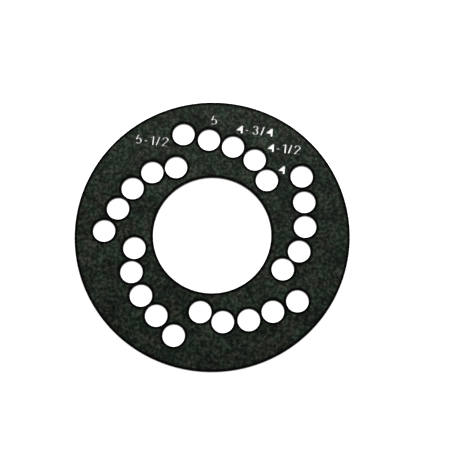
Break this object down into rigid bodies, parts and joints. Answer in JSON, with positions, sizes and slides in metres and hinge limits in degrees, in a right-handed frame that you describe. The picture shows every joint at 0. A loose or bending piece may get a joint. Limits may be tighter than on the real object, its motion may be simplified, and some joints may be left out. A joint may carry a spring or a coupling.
{
  "type": "wheel stud bolt circle template",
  "caption": "Flat ring template with spiralling sets of stud holes, for finding or marking out a wheel's bolt circle.",
  "frame": {"origin": "middle of the hub hole, on the underside", "axes": "+Z out of the numbered face along the hub hole's axis, +X the way the numerals read"},
  "size_m": [0.1778, 0.1778, 0.0027],
  "materials": {
    "black_coating": "fine textured powder coating, dark green-grey black, satin"
  },
  "bodies": {
    "root": {"template_plate": "black_coating"}
  },
  "joints": []
}
